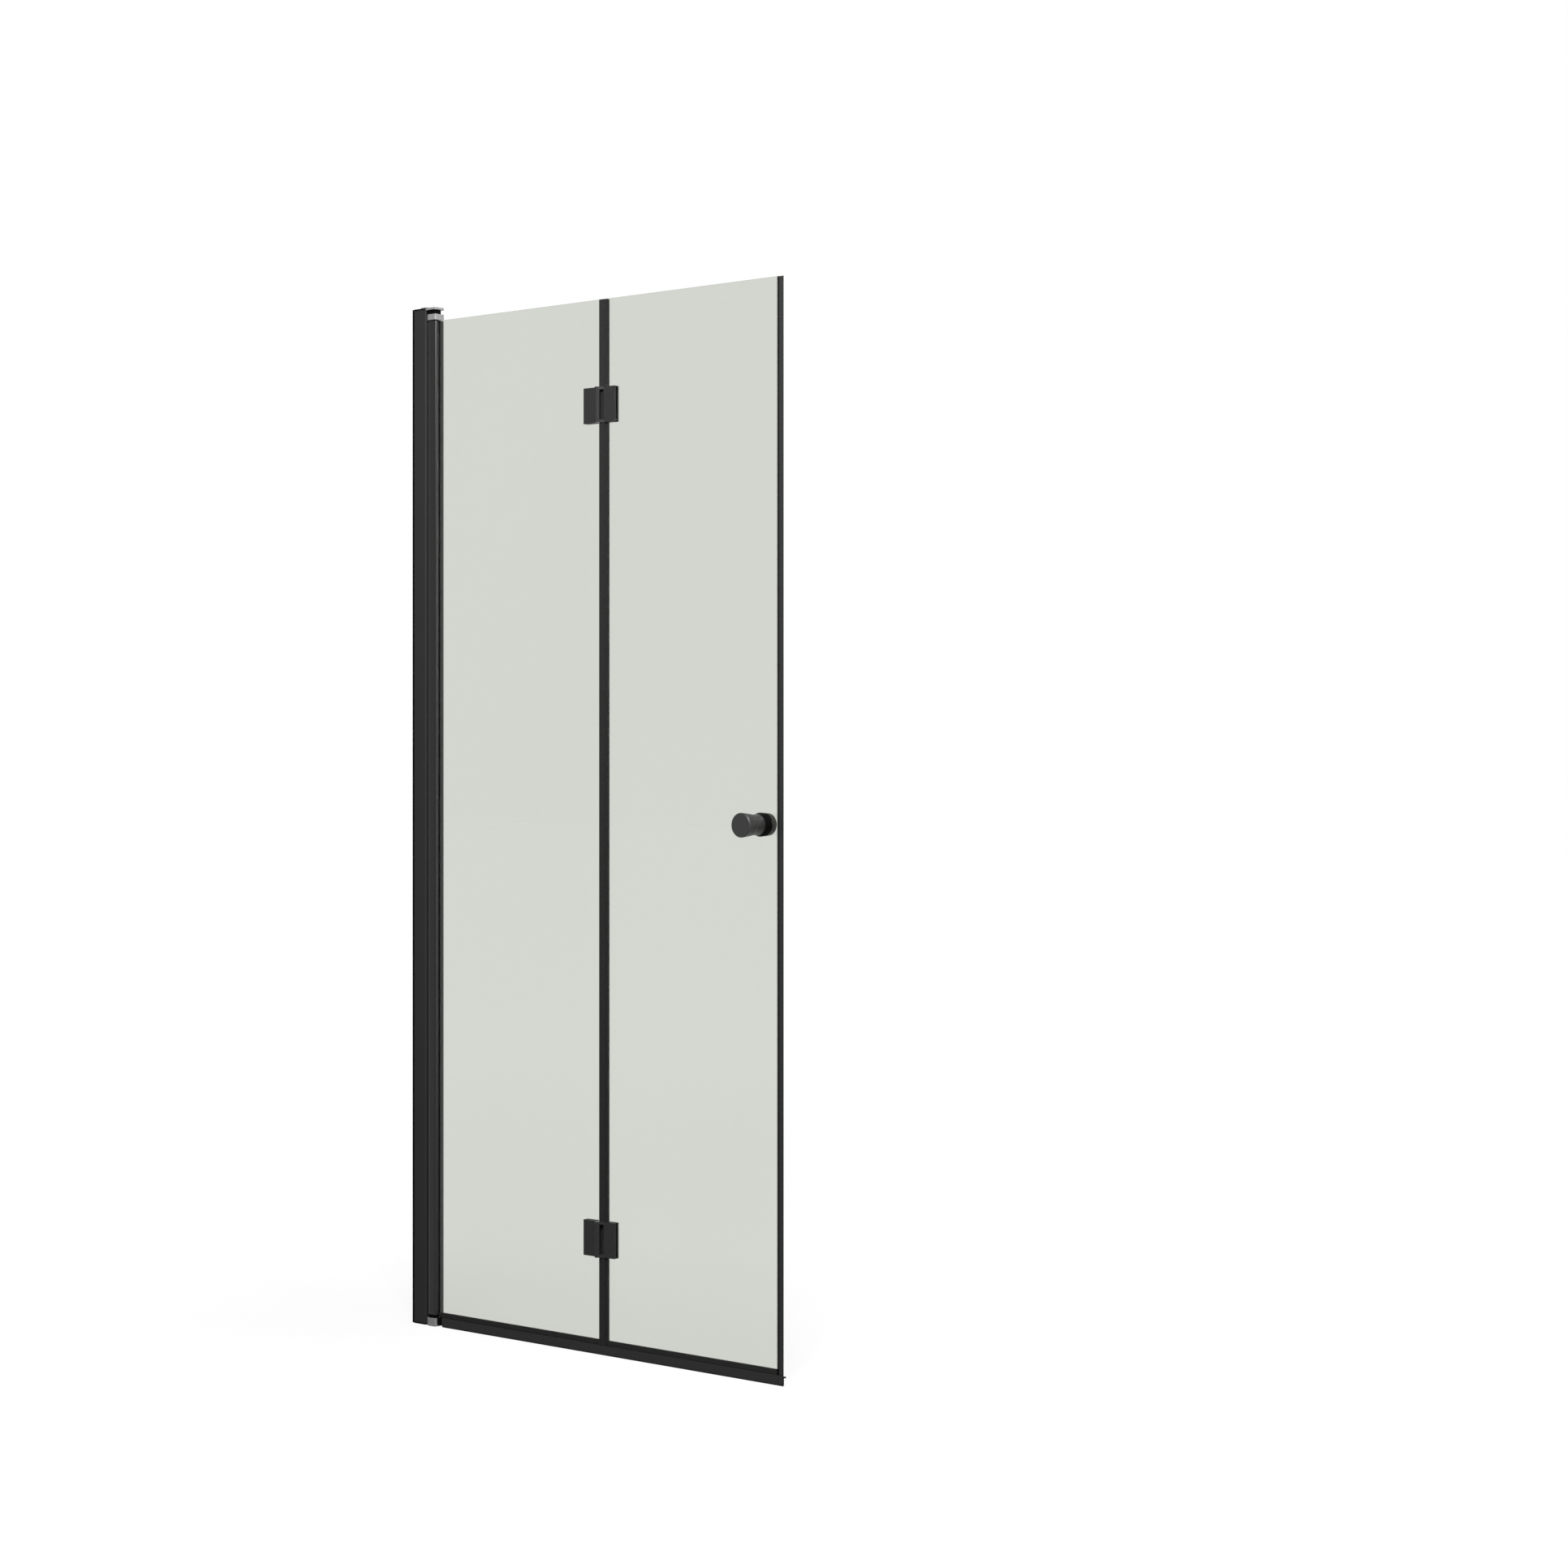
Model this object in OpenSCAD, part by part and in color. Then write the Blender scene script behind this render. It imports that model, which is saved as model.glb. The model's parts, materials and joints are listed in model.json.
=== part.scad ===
// Bifold shower door for a corner entry: two glass leaves that fold about a pair of hinges,
// hung on pivot pins at a wall profile, over a low threshold rail.
// X runs from the wall to the closing corner, -Y is the outside, Z is up.
// The origin is where the wall face, the glass centre plane and the floor meet.

/* [Overall size] */
// Width from the wall to the outer corner of the mitred threshold rail
door_w = 900; // [800:1:1000]
// Height of the door from the floor to the top bracket
door_h = 1915.5; // [1700:0.5:2050]
// Distance from the wall to the axis that the two leaves fold about
fold_x = 474.7; // [420:0.1:520]
// Thickness of the glass
glass_t = 6; // [5:0.5:8]
// Distance from the top of the door down to the top edge of the glass
glass_drop = 27.2; // [24:0.1:40]

/* [Wall profile] */
// Reach of the adjusting profile from the wall to its nose
profile_reach = 37.5; // [36:0.5:50]
// Depth of the adjusting profile across the door
profile_d = 20; // [19:0.5:24]
// Wall thickness of the wall channel and the adjusting profile
profile_wall = 1.6; // [1.2:0.1:2]
// Thickness of the adjusting profile's nose
nose_t = 3; // [2.4:0.1:4]
// Bevel on the two corners of the nose
nose_bevel = 2; // [1:0.1:2.4]
// Strip of the wall channel that stays in view at the wall
channel_show = 6.5; // [2:0.5:8]
// Depth of the wall channel's flanges
channel_reach = 22; // [18:0.5:24]
// Gap all round between sliding profiles
slide_gap = 0.3; // [0.2:0.05:0.4]
// Radius of the holes for the wall screws
wall_hole_r = 2.6; // [2:0.1:3]
// Spacing of the outer pair of wall screws
wall_span_outer = 1680; // [1400:10:1680]
// Spacing of the inner pair of wall screws
wall_span_inner = 560; // [400:10:900]
// Distance of the end adjusting screws from the ends of the profile
adjust_inset = 280; // [150:5:400]
// Shank radius of the adjusting screws
adjust_screw_r = 1.9; // [1.5:0.1:2.2]
// Thickness of the caps on the ends of the wall profile
end_t = 3; // [2:0.1:5]
// Radius of the caps over the adjusting screws
cap_r = 5; // [4.6:0.1:6]

/* [Pivot] */
// Gap between the nose of the wall profile and the round back of the pivot profile
pivot_gap = 0.5; // [0.4:0.1:1.5]
// Depth of the pivot profile across the door
pivot_d = 20.8; // [19:0.2:23]
// Wall thickness of the pivot profile
pivot_wall = 1.8; // [1.4:0.1:2.2]
// Depth of the pocket that holds the glass
pocket_depth = 6.5; // [6:0.5:10]
// Length by which the pocket's inner jaw reaches past its outer jaw
jaw_extra = 2.5; // [0:0.5:4]
// Web between the round chamber and the glass pocket
pocket_web = 1; // [0.8:0.1:2]
// Radius of the pivot profile's outer corner at the glass
pivot_corner_r = 6; // [3:0.5:6]
// Thickness of the glazing gasket on each face of the glass
gasket_t = 1.1; // [0.8:0.1:1.5]
// Radius of the pivot pins
pin_r = 4; // [3:0.1:5]
// Length of pin inside the leaf
pin_grip = 24; // [16:1:40]
// Radial running clearance of every pin in its bore
pin_fit = 0.05; // [0.02:0.01:0.1]
// Length of the pivot inserts
insert_l = 34; // [30:1:50]
// Height of the gap between the rail and the leaf
leaf_lift = 0.5; // [0.5:0.1:2]
// Height of the gap between the leaf and the top bearing block, which a washer fills
leaf_play = 1.9; // [1:0.1:3]

/* [Brackets] */
// Depth of the bearing blocks across the door
block_d = 24; // [20:0.5:28]
// Height of the top bearing block
block_h = 11; // [10:0.1:16]
// Drop of the bottom bearing block's top below the top of the rail
block_drop = 2; // [1:0.1:3]
// Edge radius of the bearing blocks and the top plate at the glass
block_edge_r = 2.2; // [0.5:0.1:3]
// Thickness of the top plate where it stands out from the wall profile
plate_t = 4.1; // [3:0.1:6]
// Drop of the top plate below its lap on the wall profile
plate_drop = 1.9; // [1.5:0.1:5]
// Thickness of the top plate over the wall profile
plate_cap_t = 1.5; // [1:0.1:3]
// Depth of the top plate across the door
plate_d = 24; // [20:0.5:28]
// Length of top plate that lies on the wall profile
plate_lap = 13; // [10:0.5:16]
// Depth of the spacer across the door
spacer_d = 17; // [14:0.5:24]
// Setback of the spacer from the glass side of the bearing block
spacer_setback = 4.5; // [1:0.1:6]
// Length of the bracket legs inside the profile
leg_l = 40; // [25:1:60]
// Width of the bracket legs along the door
leg_w = 9; // [7:0.5:9.5]
// Shank radius of the bracket screws
bracket_screw_r = 2; // [1.5:0.1:2.5]

/* [Threshold rail] */
// Height of the rail
rail_h = 17; // [14:0.5:22]
// Depth of the rail from the glass plane to its outer face
rail_out = 8; // [7:0.5:10]
// Depth of the rail from the glass plane to its inner edge
rail_in = 10; // [9:0.5:14]
// Wall thickness of the rail
rail_wall = 1.5; // [1.2:0.1:2]
// Thickness of the bedding strip under the rail
bed_t = 2; // [1:0.1:3]
// Height of the rail's inner edge above the bedding strip
rail_lip = 3.2; // [3:0.1:5]
// Length of the connector in view between the bottom bracket and the rail
connector_l = 13.5; // [8:0.5:25]
// Length of the spigots inside the rail
spigot_l = 22; // [15:1:40]
// Thickness of the end cap across the mitre
end_cap_t = 1.6; // [1.2:0.1:3]
// Radius of the end cap's locating peg
peg_r = 1.5; // [1:0.1:2]
// Length of the locating peg in view
peg_l = 4; // [2:0.5:6]

/* [Seals and closing profile] */
// Height of the bottom seals
seal_h = 8.3; // [7.5:0.1:16]
// Wall thickness of the seals on the faces of the glass
seal_wall = 0.9; // [0.7:0.1:1.4]
// Solid height of the bottom seals below the glass
seal_foot = 4; // [2.5:0.5:5]
// Gap between the edge of the wall-side glass and the fold seal
fold_gap = 1.2; // [0.8:0.1:2.5]
// Distance from the fold axis back to the wall-side face of the fold seal
fold_lead = 0.1; // [0:0.1:0.5]
// Distance of the tops of the upright seals below the glass
seal_drop = 0.8; // [0:0.1:3]
// Width of the round nose of the fold seal
fold_nose_w = 12.3; // [11:0.1:16]
// Depth of the fold seal's nose across the door
fold_nose_d = 15; // [12:0.5:15]
// Width of the fold seal's flanges on the glass
fold_flange_w = 5.8; // [4:0.1:9]
// Width of the closing profile's body on its outer face
closing_w = 10.7; // [10.5:0.1:16]
// Depth of the closing profile across the door
closing_d = 9; // [8.6:0.1:12]
// Width of the thin lips of the closing profile on the glass
closing_lip_w = 4.8; // [3:0.1:8]
// Depth of the magnet behind the mitred closing face
magnet_t = 2; // [1.5:0.1:2.4]
// Width of the magnet
magnet_w = 6; // [4:0.1:8]

/* [Fold hinges] */
// Height of the centre of the upper hinge below the top of the door
upper_hinge_drop = 216.3; // [150:0.1:400]
// Height of the centre of the lower hinge above the floor
lower_hinge_z = 206.3; // [120:0.1:400]
// Height of a hinge plate
hinge_h = 64; // [56:1:90]
// Width of the flat of a hinge plate
flat_w = 26.5; // [24:0.5:40]
// Thickness of a hinge plate
hinge_t = 3.2; // [2.8:0.1:4]
// Thickness of the pad between a plate and the glass
pad_t = 0.8; // [0.5:0.1:1.2]
// Radius of the hinge knuckles
knuckle_r = 4.8; // [4.2:0.1:5.5]
// Distance of the fold axis outside the hinge plates' outer faces
knuckle_out = 4; // [3.8:0.1:5]
// Height of the knuckles at the ends of the barrel
end_knuckle_h = 5; // [5:0.5:10]
// Gap between knuckles
knuckle_gap = 0.3; // [0.3:0.05:0.6]
// Radius of the hinge pins
hinge_pin_r = 2; // [1.6:0.1:2.4]
// Wall thickness of the hinge bushes
bush_t = 0.8; // [0.6:0.1:1]
// Distance between the two screws of a hinge plate
hinge_screw_span = 40; // [30:1:48]
// Shank radius of the hinge screws
hinge_screw_r = 2.5; // [2:0.1:3]
// Head radius of the hinge screws
hinge_head_r = 4.6; // [4:0.1:5]

/* [Knob] */
// Distance of the knob's axis from the closing corner
knob_inset = 53.1; // [45:0.1:80]
// Height of the knob above the floor
knob_z = 953.5; // [800:0.5:1100]
// Distance of the outer knob's face from the glass
knob_l = 57; // [50:0.5:70]
// Radius of the outer knob at its face
knob_face_r = 21; // [18:0.5:25]
// Radius of the outer knob where its head narrows towards the waist
knob_neck_r = 19.2; // [18:0.1:20]
// Radius of the outer knob at its waist
knob_waist_r = 17.7; // [15:0.1:18]
// Length of the outer knob's head
knob_head_l = 22; // [15:0.5:26]
// Length of the flare from the rosette's rim to the waist
knob_flare_l = 16; // [15:0.5:18]
// Radius of the rosette's rim
knob_foot_r = 20.6; // [19:0.1:24]
// Length of the rosette's straight rim on the washer
rosette_rim_l = 3.8; // [2:0.2:6]
// Length of the rosette from the washer to the outer knob
rosette_l = 11.4; // [7:0.2:14]
// Radius of the inner knob at the glass
inner_knob_r = 20; // [18:0.1:22]
// Radius of the inner knob at its face
inner_face_r = 19.6; // [16:0.1:20]
// Thickness of the inner knob
inner_knob_l = 13.6; // [10:0.1:20]
// Thickness of the washers on the glass
washer_t = 1.2; // [0.8:0.1:2]
// Radius of the stud that joins the two knobs
stud_r = 3; // [2.5:0.1:4]
// Wall thickness of the sleeve round the stud in the glass
sleeve_t = 2.4; // [1.5:0.1:3]

/* [Hidden] */

$fn = 64;
// gap between faces that seat on each other, and the overshoot of cuts
seat = 0.02;
cut = 1;

// colours as the photo shows them
black_coat = [0.17, 0.17, 0.18];
soft_black = [0.1, 0.1, 0.1];
grey_plastic = [0.62, 0.63, 0.62];
steel = [0.7, 0.71, 0.72];
glass_tint = [0.8, 0.84, 0.79, 0.45];

// wall profile
profile_top = door_h - plate_cap_t - end_t;
adjust_half = profile_d / 2;
channel_half = adjust_half - profile_wall - slide_gap;
nose_in = profile_reach - nose_t;
wall_spans = [wall_span_outer, wall_span_inner];
adjust_zs = [adjust_inset, door_h / 2, door_h - adjust_inset];
adjust_x = channel_reach / 2 + channel_show / 2;
screw_head_r = 1.8 * adjust_screw_r;
screw_head_t = 1.4;
cap_wall = 0.8;
cap_h = screw_head_t + cap_wall + 0.3;

// pivot
pivot_half = pivot_d / 2;
washer_half = pivot_half - 0.4;
insert_gap = 0.05;
chamber_r = pivot_half - pivot_wall;
pivot_x = profile_reach + pivot_gap + pivot_half;
pocket_x = pivot_x + chamber_r + pocket_web;
pivot_end = pocket_x + pocket_depth;
pocket_half = glass_t / 2 + gasket_t;
glass_half = glass_t / 2;
leaf_z = rail_h + leaf_lift;
glass_top = door_h - glass_drop;
glass_bottom = leaf_z + seal_foot;
seal_top = glass_top - seal_drop;
glass_setback = 0.6;
lip_out = 0.5;

// brackets
block_x = profile_reach + slide_gap;
block_z = glass_top + leaf_play;
plate_z = door_h - plate_drop - plate_t;
spacer_z = block_z + block_h;
spacer_end = pivot_end - spacer_setback;
bottom_block_h = rail_h - block_drop;
pin_end_gap = 3;
plate_skin = 1.5;
leg_x = nose_in - slide_gap - leg_w;
leg_half = channel_half;
bracket_screw_x = leg_x + leg_w / 2;
top_screw_z = profile_top - leg_l / 2;
tongue_h = bottom_block_h - pin_end_gap;
tongue_half = 5;
bottom_screw_z = (end_t + tongue_h) / 2;

// threshold rail
rail_crown = glass_half + seal_wall + 1.5;
rail_z = bed_t + seat;
mitre_sum = door_w - rail_out;
rail_x = pivot_end + slide_gap + connector_l;
mitre_span = 2 * door_w;

// seals
seal_half = glass_half + seat + seal_wall;
leaf_2_x = fold_x - fold_lead;
glass_1_end = leaf_2_x - fold_gap;
fold_core_w = fold_nose_w / 2 + 0.6;
glass_2_x = leaf_2_x + fold_core_w + seat;
fold_flange_x = leaf_2_x + fold_nose_w;
fold_flange_end = fold_flange_x + fold_flange_w;
closing_half = closing_d / 2;
closing_corner = mitre_sum + closing_half;
closing_x = closing_corner - closing_w;
closing_lip_x = closing_x - closing_lip_w;
glass_2_end = min(closing_x, mitre_sum - closing_half - magnet_t * sqrt(2)) - seat;

// fold hinges
plate_in = glass_half + pad_t;
plate_out = plate_in + hinge_t;
axis_y = -(plate_out + knuckle_out);
ramp_run = knuckle_r * sqrt(0.5);
flat_1_end = fold_x - ramp_run - (knuckle_out + ramp_run);
flat_1_x = flat_1_end - flat_w;
flat_2_x = fold_x + (fold_x - flat_1_end);
flat_2_end = flat_2_x + flat_w;
hinge_zs = [door_h - upper_hinge_drop, lower_hinge_z];
hinge_screw_x1 = flat_1_x + flat_w / 2;
hinge_screw_x2 = flat_2_x + flat_w / 2;
hinge_head_t = 1.8;
notch_h = hinge_h + 2 * knuckle_gap;
knuckle_notch_w = knuckle_r + 2;
barrel_h = hinge_h - 2 * (end_knuckle_h + knuckle_gap);
glass_hole_r = hinge_screw_r + 1.5;
screw_tip = 0.8;

// knob
knob_x = door_w - knob_inset;
rosette_y = glass_half + washer_t;
flare_y = rosette_y + rosette_rim_l;
foot_y = rosette_y + rosette_l;
stud_out = knob_l * 0.6;
stud_in = inner_knob_l * 0.6;
sleeve_r = stud_r + sleeve_t;

// ---------- shared shapes ----------

// rectangle from two corners
module span_rect(x0, x1, y0, y1) {
    translate([x0, y0]) square([x1 - x0, y1 - y0]);
}

// rectangle with all four corners rounded
module round_rect(x0, x1, y0, y1, r) {
    span_rect(x0 + r, x1 - r, y0, y1);
    span_rect(x0, x1, y0 + r, y1 - r);
    for (x = [x0 + r, x1 - r], y = [y0 + r, y1 - r])
        translate([x, y]) circle(r);
}

// extrusion of a (y, z) outline along X
module along_x(x0, x1) {
    translate([x0, 0, 0]) rotate([90, 0, 90]) linear_extrude(x1 - x0) children();
}

// cylinder along Y from y0 to y1
module rod_y(x, z, y0, y1, r, sides = 64) {
    translate([x, y0, z]) rotate([-90, 0, 0]) cylinder(h = y1 - y0, r = r, $fn = sides);
}

// body of revolution whose axis points outwards (-Y) from the glass centre plane
module turned_out(x, z) {
    translate([x, 0, z]) rotate([90, 0, 0]) rotate_extrude() children();
}

// body of revolution whose axis points inwards (+Y)
module turned_in(x, z) {
    translate([x, 0, z]) rotate([-90, 0, 0]) rotate_extrude() children();
}

// everything on the wall side of the 45 degree mitre plane x + y = sum
module before_mitre(sum) {
    translate([sum, 0, -cut]) rotate([0, 0, 45])
        translate([-2 * door_w, -mitre_span, 0])
            cube([2 * door_w, 2 * mitre_span, door_h + 2 * cut]);
}

// screw along Y: head at y_head pointing to +Y, tip at y_tip
module screw_y(x, z, y_tip, y_head, r, head_r, head_t, socket_r) {
    difference() {
        union() {
            rod_y(x, z, y_tip, y_head, r);
            rod_y(x, z, y_head - seat, y_head + head_t, head_r);
        }
        rod_y(x, z, y_head + head_t / 3, y_head + head_t + cut, socket_r, 6);
    }
}

// ---------- wall profile ----------

// the length of both wall profiles, between their end caps
module profile_length() {
    translate([0, 0, end_t + seat]) linear_extrude(profile_top - end_t - seat) children();
}

// outer outline of the adjusting profile
module adjusting_outline() {
    polygon([[channel_show, -adjust_half], [profile_reach - nose_bevel, -adjust_half],
        [profile_reach, -adjust_half + nose_bevel], [profile_reach, adjust_half - nose_bevel],
        [profile_reach - nose_bevel, adjust_half], [channel_show, adjust_half]]);
}

module wall_channel() {
    color(black_coat) difference() {
        profile_length() difference() {
            span_rect(0, channel_reach, -channel_half, channel_half);
            span_rect(profile_wall, channel_reach + cut,
                -channel_half + profile_wall, channel_half - profile_wall);
        }
        for (span = wall_spans, side = [-1, 1])
            translate([-cut, 0, door_h / 2 + side * span / 2]) rotate([0, 90, 0])
                cylinder(h = profile_wall + 2 * cut, r = wall_hole_r);
        for (z = adjust_zs)
            rod_y(adjust_x, z, 0, adjust_half, adjust_screw_r + pin_fit);
    }
}

module adjusting_profile() {
    color(black_coat) difference() {
        profile_length() difference() {
            adjusting_outline();
            span_rect(0, nose_in, -adjust_half + profile_wall, adjust_half - profile_wall);
        }
        for (z = adjust_zs)
            rod_y(adjust_x, z, 0, adjust_half + cut, adjust_screw_r + pin_fit);
        for (z = [top_screw_z, bottom_screw_z])
            rod_y(bracket_screw_x, z, 0, adjust_half + cut, bracket_screw_r + pin_fit);
        translate([nose_in - cut, -tongue_half - slide_gap, -cut])
            cube([nose_t + 2 * cut, 2 * (tongue_half + slide_gap), tongue_h + slide_gap + cut]);
    }
}

// outline of the end caps, with a hole for a bracket's leg
module end_cap_outline() {
    difference() {
        union() {
            span_rect(0, channel_show + cut, -channel_half, channel_half);
            adjusting_outline();
        }
        span_rect(leg_x - slide_gap, leg_x + leg_w + slide_gap, -leg_half - slide_gap,
            leg_half + slide_gap);
    }
}

module top_end_cap() {
    color(soft_black) translate([0, 0, profile_top + seat])
        linear_extrude(end_t - 2 * seat) end_cap_outline();
}

module bottom_end_cap() {
    color(soft_black) linear_extrude(end_t) difference() {
        end_cap_outline();
        span_rect(leg_x, profile_reach + cut, -tongue_half - slide_gap, tongue_half + slide_gap);
    }
}

module adjusting_screws() {
    tip_y = channel_half - profile_wall - 2;
    color(steel) for (z = adjust_zs)
        screw_y(adjust_x, z, tip_y, adjust_half + seat, adjust_screw_r, screw_head_r,
            screw_head_t, adjust_screw_r * 0.6);
}

module screw_caps() {
    color(soft_black) for (z = adjust_zs) translate([0, adjust_half + seat, 0])
        turned_in(adjust_x, z) difference() {
            union() {
                square([cap_r, cap_h - cap_wall]);
                square([cap_r - cap_wall, cap_h]);
                translate([cap_r - cap_wall, cap_h - cap_wall]) intersection() {
                    circle(cap_wall);
                    square(cap_wall);
                }
            }
            translate([0, -cut]) square([cap_r - cap_wall, cap_h - cap_wall + cut]);
        }
}

// ---------- brackets and pivot pins ----------

module top_bracket() {
    plate_end = pivot_end + seat;
    step_end = block_x + plate_cap_t;
    color(grey_plastic) difference() {
        union() {
            translate([0, 0, plate_z]) linear_extrude(plate_t)
                round_rect(block_x, plate_end, -plate_d / 2, plate_d / 2, block_edge_r);
            translate([0, 0, door_h - plate_cap_t]) linear_extrude(plate_cap_t)
                span_rect(profile_reach - plate_lap, step_end, -adjust_half, adjust_half);
            translate([0, 0, plate_z]) linear_extrude(door_h - plate_z)
                span_rect(block_x, step_end, -adjust_half, adjust_half);
            translate([0, 0, profile_top - leg_l]) linear_extrude(door_h - profile_top + leg_l)
                span_rect(leg_x, leg_x + leg_w, -leg_half, leg_half);
        }
        rod_y(bracket_screw_x, top_screw_z, 0, adjust_half + cut, bracket_screw_r + pin_fit);
        translate([pivot_x, 0, plate_z - cut])
            cylinder(h = plate_t - plate_skin + cut, r = pin_r + pin_fit);
    }
}

// outline of the bearing blocks: round behind the pivot axis, with two small corners at the glass
module block_outline() {
    half = block_d / 2;
    difference() {
        union() {
            translate([pivot_x, 0]) circle(half);
            round_rect(pivot_x, pivot_end, -half, half, block_edge_r);
            span_rect(pivot_x, pivot_end - block_edge_r, -half, half);
        }
        span_rect(pivot_x - block_d, block_x, -block_d, block_d);
    }
}

module top_bearing_block() {
    color(grey_plastic) difference() {
        translate([0, 0, block_z]) linear_extrude(block_h) block_outline();
        translate([pivot_x, 0, block_z - cut])
            cylinder(h = block_h + 2 * cut, r = pin_r + pin_fit);
    }
}

module spacer_block() {
    color(soft_black) difference() {
        translate([0, 0, spacer_z + seat]) linear_extrude(plate_z - spacer_z - 2 * seat)
            round_rect(block_x, spacer_end, -spacer_d / 2, spacer_d / 2, block_edge_r);
        translate([pivot_x, 0, spacer_z - cut])
            cylinder(h = plate_z - spacer_z + 2 * cut, r = pin_r + pin_fit);
    }
}

module bottom_bracket() {
    color(grey_plastic) difference() {
        union() {
            linear_extrude(bottom_block_h) block_outline();
            linear_extrude(tongue_h)
                span_rect(leg_x, block_x + block_edge_r, -tongue_half, tongue_half);
            linear_extrude(tongue_h) span_rect(leg_x, leg_x + leg_w, -leg_half, leg_half);
        }
        rod_y(bracket_screw_x, bottom_screw_z, 0, adjust_half + cut, bracket_screw_r + pin_fit);
        translate([pivot_x, 0, pin_end_gap])
            cylinder(h = rail_h, r = pin_r + pin_fit);
    }
}

module bracket_screws() {
    color(steel) for (z = [top_screw_z, bottom_screw_z])
        screw_y(bracket_screw_x, z, seat, adjust_half + seat, bracket_screw_r,
            1.8 * bracket_screw_r, screw_head_t, bracket_screw_r * 0.6);
}

module top_pivot_pin() {
    color(steel) translate([pivot_x, 0, glass_top - pin_grip])
        cylinder(h = plate_z + plate_t - plate_skin - slide_gap - glass_top + pin_grip, r = pin_r);
}

module bottom_pivot_pin() {
    color(steel) translate([pivot_x, 0, pin_end_gap + seat])
        cylinder(h = leaf_z + pin_grip - pin_end_gap, r = pin_r);
}

// ---------- threshold rail ----------

// outline of the rail in (y, z), shrunk by inset on every side
module rail_outline(inset) {
    polygon([[-rail_out + inset, rail_z + inset], [rail_in - inset, rail_z + inset],
        [rail_in - inset, rail_z + rail_lip - inset / 2],
        [rail_crown - inset / 2, rail_h - inset], [-rail_out + inset, rail_h - inset]]);
}

module threshold_rail() {
    color(black_coat) intersection() {
        along_x(rail_x, door_w + rail_in) difference() {
            rail_outline(0);
            rail_outline(rail_wall);
        }
        before_mitre(mitre_sum - end_cap_t * sqrt(2) - seat);
    }
}

module bedding_strip() {
    setback = 0.7;
    color(soft_black) intersection() {
        along_x(rail_x, door_w + rail_in)
            span_rect(-rail_out + setback, rail_in - setback, 0, bed_t);
        before_mitre(mitre_sum - setback);
    }
}

module threshold_connector() {
    color(soft_black) {
        along_x(pivot_end + slide_gap, rail_x - seat) rail_outline(0.8);
        along_x(rail_x - cut, rail_x + spigot_l) rail_outline(rail_wall + slide_gap);
    }
}

module threshold_end_cap() {
    peg_y = -rail_out / 2;
    color(soft_black) {
        intersection() {
            along_x(door_w - 3 * rail_in, door_w + rail_in) rail_outline(0);
            difference() {
                before_mitre(mitre_sum);
                before_mitre(mitre_sum - end_cap_t * sqrt(2));
            }
        }
        intersection() {
            along_x(door_w - spigot_l - rail_in, door_w + rail_in)
                rail_outline(rail_wall + slide_gap);
            before_mitre(mitre_sum - end_cap_t * sqrt(2) / 2);
        }
        translate([mitre_sum - peg_y, peg_y, rail_h - 2.5]) rotate([0, 0, 45]) rotate([0, 90, 0])
            translate([0, 0, -end_cap_t / 2]) cylinder(h = peg_l + end_cap_t / 2, r = peg_r);
    }
}

// ---------- wall-side leaf ----------

// the height of the glass, between its lower and upper edges
module glass_length() {
    translate([0, 0, glass_bottom]) linear_extrude(glass_top - glass_bottom) children();
}

// round at the wall side, with a large corner outside and a sharp one inside at the glass
module pivot_profile() {
    color(black_coat) glass_length() difference() {
        union() {
            translate([pivot_x, 0]) circle(pivot_half);
            span_rect(pivot_x, pivot_end - pivot_corner_r, -pivot_half, pivot_half);
            round_rect(pivot_x, pivot_end, -pivot_half, pivot_half, pivot_corner_r);
            span_rect(pivot_x, pivot_end + jaw_extra, 0, pivot_half);
        }
        translate([pivot_x, 0]) circle(chamber_r);
        span_rect(pocket_x, pivot_end + jaw_extra + cut, -pocket_half, pocket_half);
    }
}

// plug in one end of the pivot profile's chamber, bored for a pin
module pivot_insert(z0) {
    translate([pivot_x, 0, z0]) difference() {
        cylinder(h = insert_l, r = chamber_r - insert_gap);
        translate([0, 0, -cut]) cylinder(h = insert_l + 2 * cut, r = pin_r + pin_fit);
    }
}

module top_pivot_insert() {
    color(soft_black) pivot_insert(glass_top - insert_l);
}

// the lower plug carries the profile and the glass on a flange
module bottom_pivot_insert() {
    color(soft_black) {
        pivot_insert(leaf_z);
        translate([0, 0, leaf_z]) linear_extrude(seal_foot - seat) difference() {
            union() {
                translate([pivot_x, 0]) circle(washer_half);
                span_rect(pivot_x, pivot_end, -washer_half, washer_half);
            }
            translate([pivot_x, 0]) circle(pin_r + pin_fit);
        }
    }
}

// washer round a pivot pin between two heights
module pivot_washer(z0, z1) {
    color(soft_black) translate([pivot_x, 0, z0 + seat]) difference() {
        cylinder(h = z1 - z0 - 2 * seat, r = washer_half);
        translate([0, 0, -cut]) cylinder(h = z1 - z0 + 2 * cut, r = pin_r + 2 * pin_fit);
    }
}

module glazing_gasket() {
    color(soft_black) glass_length() difference() {
        span_rect(pocket_x + seat, pivot_end + lip_out, -pocket_half + seat, pocket_half - seat);
        span_rect(pocket_x + glass_setback - seat, pivot_end + 2 * lip_out,
            -glass_half - seat, glass_half + seat);
    }
}

module glass_panel_1() {
    color(glass_tint) difference() {
        translate([pocket_x + glass_setback, -glass_half, glass_bottom])
            cube([glass_1_end - pocket_x - glass_setback, glass_t, glass_top - glass_bottom]);
        hinge_holes(hinge_screw_x1);
    }
}

// holes in the glass for the screws of both hinges
module hinge_holes(x) {
    for (z = hinge_zs, side = [-1, 1])
        rod_y(x, z + side * hinge_screw_span / 2, -glass_t, glass_t, glass_hole_r);
}

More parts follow.
